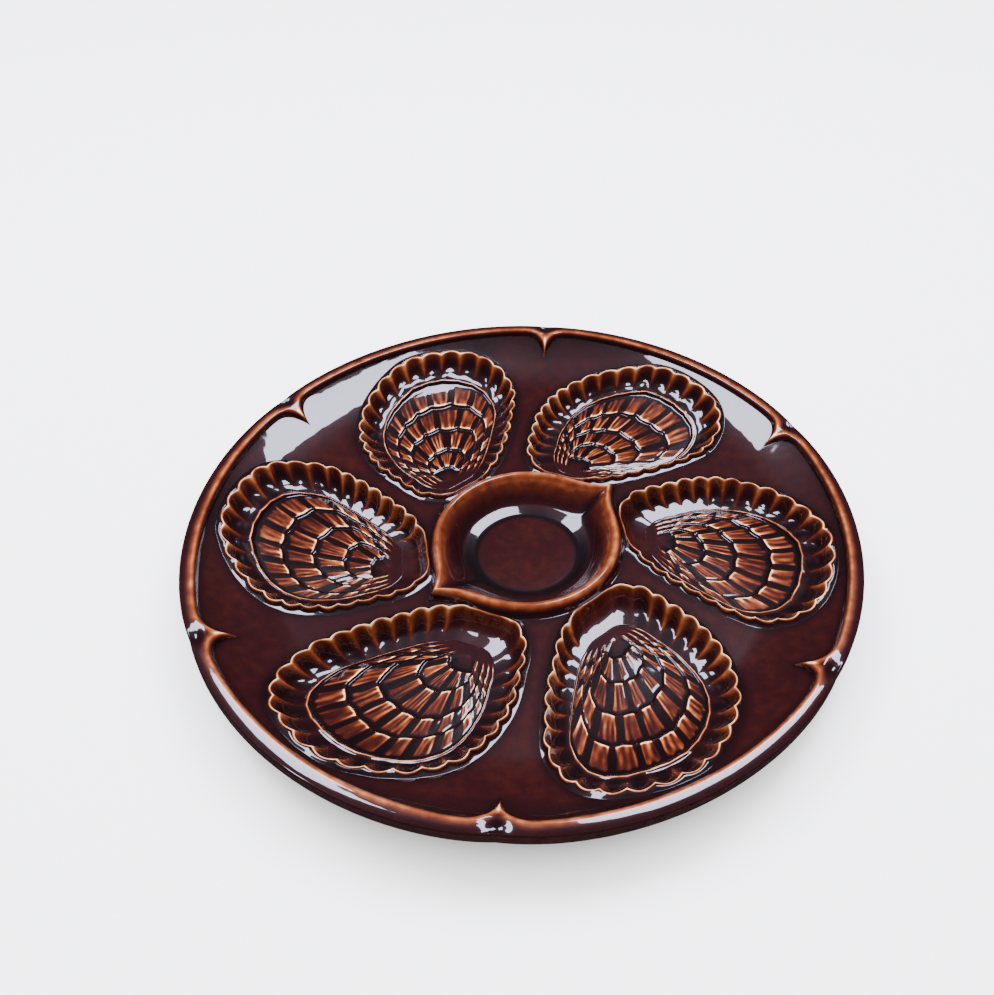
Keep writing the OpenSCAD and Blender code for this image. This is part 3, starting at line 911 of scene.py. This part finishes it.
def rim_data():
    """The band as a height over the plate, whose roll follows the inner edge into each cusp.

    Gives the vertices, quads, triangles and tones, and the line where the rim meets the deck.
    """
    side = np.arange(-CUSP_STEPS, CUSP_STEPS)
    half = np.sign(side) * WELL_PITCH / 2 * (np.abs(side) / CUSP_STEPS) ** 2
    off = np.abs(half) * BAND_R
    r_in, r_out = cusp_curves(off)
    fine = np.linspace(-1, 1, CUSP_FINE_STEPS)
    fine = np.sign(fine) * WELL_PITCH / 2 * fine ** 2
    inner_curve = polar(cusp_curves(np.abs(fine) * BAND_R)[0], fine)
    edge_z = RIM_H - EDGE_FALL

    def top(r):
        """Height and tone of the band's top."""
        d = closest(polar(r, half), inner_curve)
        rise = 1 - np.clip(1 - d / ROLL_W, 0, 1) ** ROLL_POWER
        out = np.clip((r - BAND_R) / BAND_W, 0, 1)
        crown = np.where(out > CROWN_SHARE, CROWN_FALL_OUT, CROWN_FALL_IN) * (out - CROWN_SHARE) ** 2
        base = deck_z(r) + (RIDGE_H - CROWN_DROP - crown) * rise
        bead = BEAD_H * bump(d - BEAD_IN, 0.8)
        hollow = np.hypot((r - DIMPLE_R) / DIMPLE_HALF_W, np.abs(half) * r / DIMPLE_HALF_L)
        z = base + bead - DIMPLE_H * bump(hollow, 1.0) * smooth((r_out - r) / 1.2)
        inner_side = 0.04 + 0.36 * smooth((d - 0.3) / 1.2)
        band = inner_side - 0.26 * smooth((d - 2.6) / 2.0) + 0.14 * bump(d - 1.9, 1.15)
        bead_line = 0.10 * bump(d - BEAD_IN, 0.5)
        spike = np.exp(-off / 2.2) * smooth((SPIKE_END_R - r) / 4)
        spike_line = 0.45 * spike * bump(off * r / BAND_R, 0.7)
        tone = band + bead_line + spike_line - 0.12 * bump(hollow, 1.1)
        return z, np.clip(tone, 0.02, 1)

    inner_z = deck_z(r_in)
    rows = [(mix(r_in, r_out, 0.55), mix(inner_z - WALL_T, LIP_H, 0.75), 0.16),
            (r_out - BAND_W / 5, LIP_H, 0.2)]
    for rise, inset in LIP_CURVE:
        rows.append((r_out - inset, mix(LIP_H, edge_z, rise), 0.22))
    top_z = top(r_out - EDGE_ROUND)[0]
    for turn in EDGE_TURNS:
        a = turn * math.pi / 2
        r = r_out - EDGE_ROUND * (1 - math.cos(a))
        rows.append((r, mix(edge_z - EDGE_ROUND, top_z, math.sin(a)), 0.12))
    for share in BAND_SHARES:
        r = mix(r_in, r_out - EDGE_ROUND, share)
        z, tone = top(r)
        rows.append((r, z if share else inner_z, tone))
    rows.append((r_in, inner_z - WALL_T, UNDER_TONE))

    angle = np.concatenate([WELL_PITCH * (k + 0.5) + half for k in range(WELL_COUNT)])
    verts = []
    tones = []
    for r, z, tone in reversed(rows):
        z = np.tile(np.broadcast_to(z, len(half)), WELL_COUNT)
        verts.append(np.column_stack([polar(np.tile(r, WELL_COUNT), angle), z]))
        tones.append(np.tile(np.broadcast_to(tone, len(half)), WELL_COUNT))
    m = len(rows)
    n = len(angle)
    i = np.arange(n)
    j = (i + 1) % n
    quads = []
    for k in range(m):
        a = k * n
        b = (k + 1) % m * n
        quads.append(np.column_stack([a + i, b + i, b + j, a + j]))
    edge = polar(np.tile(r_in, WELL_COUNT), angle)
    return np.concatenate(verts), np.concatenate(quads), NO_TRIS, np.concatenate(tones), edge


*rim, BAND_EDGE = rim_data()
piece = make_mesh("dressed_rim", *rim, glaze, on_seam(rim[0], BAND_EDGE))
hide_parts("rim")
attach(piece, "root")


# Deck
HOLES = [turned(FLANK, i * WELL_PITCH) for i in range(WELL_COUNT)] + [CUP_EDGE]
LOOPS = [BAND_EDGE] + HOLES


def inside(points, loop):
    """Which points lie inside a closed loop."""
    hit = np.zeros(len(points), bool)
    near = np.flatnonzero(((points > loop.min(0)) & (points < loop.max(0))).all(1))
    x = points[near, 0]
    y = points[near, 1]
    state = np.zeros(len(near), bool)
    for a, b in zip(loop, np.roll(loop, -1, 0)):
        crosses = (a[1] > y) != (b[1] > y)
        if crosses.any():
            state[crosses] ^= x[crosses] < a[0] + (y[crosses] - a[1]) / (b[1] - a[1]) * (b[0] - a[0])
    hit[near] = state
    return hit


def in_deck(points):
    """Which points lie inside the band and outside the wells and the cup."""
    keep = inside(points, BAND_EDGE)
    for loop in HOLES:
        keep &= ~inside(points, loop)
    return keep


def deck_triangles():
    """The deck's points and triangles seen from above, with the other regions' edges as its own."""
    grid = np.arange(-PLATE_R, PLATE_R, DECK_SPACING)
    gx, gy = np.meshgrid(grid, grid * math.sqrt(3) / 2)
    gx = gx + (np.arange(len(grid)) % 2)[:, None] * DECK_SPACING / 2
    inner = np.column_stack([gx.ravel(), gy.ravel()])
    inner = inner[in_deck(inner)]
    edge_points = np.concatenate(LOOPS)
    inner = inner[closest(inner, edge_points) > 0.6 * DECK_SPACING]
    points = np.concatenate([edge_points, inner])
    edges = []
    start = 0
    for loop in LOOPS:
        n = len(loop)
        edges.extend((start + i, start + (i + 1) % n) for i in range(n))
        start += n
    made = delaunay_2d_cdt([Vector(p) for p in points], edges, [], 0, 1e-6)
    flat = np.array([tuple(v) for v in made[0]])
    tris = np.array([t for t in made[2] if len(t) == 3])
    tris = tris[in_deck(flat[tris].mean(1))]
    used = np.unique(tris)
    renumbered = np.full(len(flat), -1)
    renumbered[used] = np.arange(len(used))
    flat = flat[used]
    tris = renumbered[tris]
    area = np.cross(flat[tris[:, 1]] - flat[tris[:, 0]], flat[tris[:, 2]] - flat[tris[:, 0]])
    tris[area < 0] = tris[area < 0][:, ::-1]
    return flat, tris


def deck_piece():
    """The deck as a closed plate, with the glaze pooled dark along its edges."""
    flat, tris = deck_triangles()
    n = len(flat)
    top = np.column_stack([flat, deck_z(np.hypot(flat[:, 0], flat[:, 1]))])
    low = top - [0, 0, WALL_T]
    pairs = np.concatenate([tris[:, [0, 1]], tris[:, [1, 2]], tris[:, [2, 0]]])
    key = pairs[:, 0] * n + pairs[:, 1]
    mirrored = pairs[:, 1] * n + pairs[:, 0]
    border = pairs[~np.isin(key, mirrored)]
    walls = np.column_stack([border[:, 0], border[:, 0] + n, border[:, 1] + n, border[:, 1]])
    tones = np.full(n, DECK_TONE)
    for loop, reach in zip(LOOPS, DECK_POOL_REACHES):
        pooled = DECK_TONE - (DECK_TONE - 0.05) * np.exp(-(closest(flat, loop) / reach) ** 1.5)
        tones = np.minimum(tones, pooled)
    verts = np.concatenate([top, low])
    both_sides = np.concatenate([tris, tris[:, ::-1] + n])
    tones = np.concatenate([tones, tones])
    return make_mesh("dressed_deck", verts, walls, both_sides, tones, glaze, np.arange(2 * n) < n)


piece = deck_piece()
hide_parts("deck")
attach(piece, "root")

# Foot ring: the CAD node itself, with its own material
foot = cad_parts["foot_ring"]
foot.data.materials.clear()
foot.data.materials.append(foot_material())

# Stage, from here on in metres
FLOOR_HALF = 6
BACKDROP_SIDES = 96
# Radius and height of each ring of the backdrop
BACKDROP_RINGS = [
    (5.0, -0.01), (5.4, 0.06), (5.8, 0.3), (6.1, 0.7), (6.3, 1.4), (6.4, 3.0), (6.4, 6.0),
]

pale, _, pale_shader = new_material("pale_floor")
pale_shader.inputs["Base Color"].default_value = (0.9, 0.9, 0.9, 1)
pale_shader.inputs["Roughness"].default_value = 0.9


def stage_object(name, points, faces):
    """A pale object of the stage that the glaze doesn't mirror."""
    mesh = bpy.data.meshes.new(name)
    mesh.from_pydata(points, [], faces)
    mesh.materials.append(pale)
    made = bpy.data.objects.new(name, mesh)
    made.visible_glossy = False
    bpy.context.collection.objects.link(made)
    return made


def add_backdrop():
    """A pale wall that rises from the floor all round, far outside the light."""
    n = BACKDROP_SIDES
    turns = [2 * math.pi * i / n for i in range(n)]
    points = [(r * math.cos(a), r * math.sin(a), z) for r, z in BACKDROP_RINGS for a in turns]
    faces = []
    for k in range(len(BACKDROP_RINGS) - 1):
        for i in range(n):
            j = (i + 1) % n
            faces.append((k * n + i, k * n + j, (k + 1) * n + j, (k + 1) * n + i))
    wall = stage_object("backdrop", points, faces)
    wall.data.shade_smooth()
    wall.visible_diffuse = False


corners = [(-1, -1), (1, -1), (1, 1), (-1, 1)]
floor = stage_object("floor", [(x * FLOOR_HALF, y * FLOOR_HALF, 0) for x, y in corners], [(0, 1, 2, 3)])
add_backdrop()

# Camera: fitted to the photo, then turned with the plate so that one well lies along +X
CAMERA_DISTANCE = 398.7
CAMERA_ELEVATION = 0.8512
CAMERA_YAW = 0.0466
CAMERA_PITCH = 0.1056
CAMERA_ROLL = -0.004
CAMERA_FOCAL_PX = 1012.2
CAMERA_SHIFT_PX = (-77.2, -44.0)
CAMERA_DROP = -1.0
PLATE_TURN = 0.0711
PHOTO_LONG_SIDE_PX = 995


def add_camera():
    """The photo's camera, with a small shift that the photo's framing needs."""
    place = Vector((0, -CAMERA_DISTANCE * math.cos(CAMERA_ELEVATION),
                    CAMERA_DISTANCE * math.sin(CAMERA_ELEVATION)))
    ahead = -place.normalized()
    right = Vector((1, 0, 0))
    up = right.cross(ahead)
    aim = ahead * math.cos(CAMERA_YAW) * math.cos(CAMERA_PITCH) + right * math.sin(CAMERA_YAW)
    aim = (aim + up * math.sin(CAMERA_PITCH)).normalized()
    level_side = aim.cross(up).normalized()
    level_top = level_side.cross(aim)
    c = math.cos(CAMERA_ROLL)
    s = math.sin(CAMERA_ROLL)
    side = level_side * c + level_top * s
    top = -level_side * s + level_top * c
    turn = Matrix.Rotation(PLATE_TURN, 3, "Z")
    axes = [turn @ v for v in (side, top, -aim)]
    where = (turn @ place - Vector((0, 0, CAMERA_DROP))) * MM
    camera = bpy.data.objects.new("camera", bpy.data.cameras.new("camera"))
    camera.matrix_world = Matrix.Translation(where) @ Matrix(axes).transposed().to_4x4()
    camera.data.sensor_width = 36
    camera.data.lens = CAMERA_FOCAL_PX * camera.data.sensor_width / PHOTO_LONG_SIDE_PX
    camera.data.shift_x = CAMERA_SHIFT_PX[0] / PHOTO_LONG_SIDE_PX
    camera.data.shift_y = CAMERA_SHIFT_PX[1] / PHOTO_LONG_SIDE_PX
    camera.data.clip_start = 0.01
    bpy.context.collection.objects.link(camera)
    bpy.context.scene.camera = camera


add_camera()

# Light: two softboxes that the glaze mirrors, and a broad fill that it doesn't
SOFTBOX_COLOUR = (0.78, 0.785, 1.0)
SOFTBOX_POWER = 100
SOFTBOX_H = 1.0
# Name, place across and along, turn, width and length
SOFTBOXES = (
    ("left_softbox", -0.47, 0.27, 0.12, 0.32, 0.52),
    ("right_softbox", 0.345, 0.33, -0.70, 0.31, 0.58),
)
FILL_H = 2.6
FILL_SIDE = 5.0
FILL_POWER = 600
WORLD_COLOUR = (0.7, 0.72, 0.85, 1)
WORLD_STRENGTH = 0.07


def area_light(name, place, turn, size_x, size_y, power):
    """A level lamp that faces down, turned about the upright."""
    data = bpy.data.lights.new(name, "AREA")
    data.shape = "RECTANGLE"
    data.size = size_x
    data.size_y = size_y
    data.energy = power
    lamp = bpy.data.objects.new(name, data)
    lamp.location = place
    lamp.rotation_euler = (0, 0, turn)
    bpy.context.collection.objects.link(lamp)
    return lamp


for name, x, y, turn, width, length in SOFTBOXES:
    place = Matrix.Rotation(PLATE_TURN, 3, "Z") @ Vector((x, y, SOFTBOX_H))
    power = SOFTBOX_POWER * width * length
    softbox = area_light(name, place, PLATE_TURN + turn, width, length, power)
    softbox.data.color = SOFTBOX_COLOUR
fill = area_light("fill", (0, 0, FILL_H), 0, FILL_SIDE, FILL_SIDE, FILL_POWER)
fill.visible_glossy = False
world = bpy.data.worlds.new("studio")
world.use_nodes = True
background = world.node_tree.nodes["Background"]
background.inputs["Color"].default_value = WORLD_COLOUR
background.inputs["Strength"].default_value = WORLD_STRENGTH
bpy.context.scene.world = world
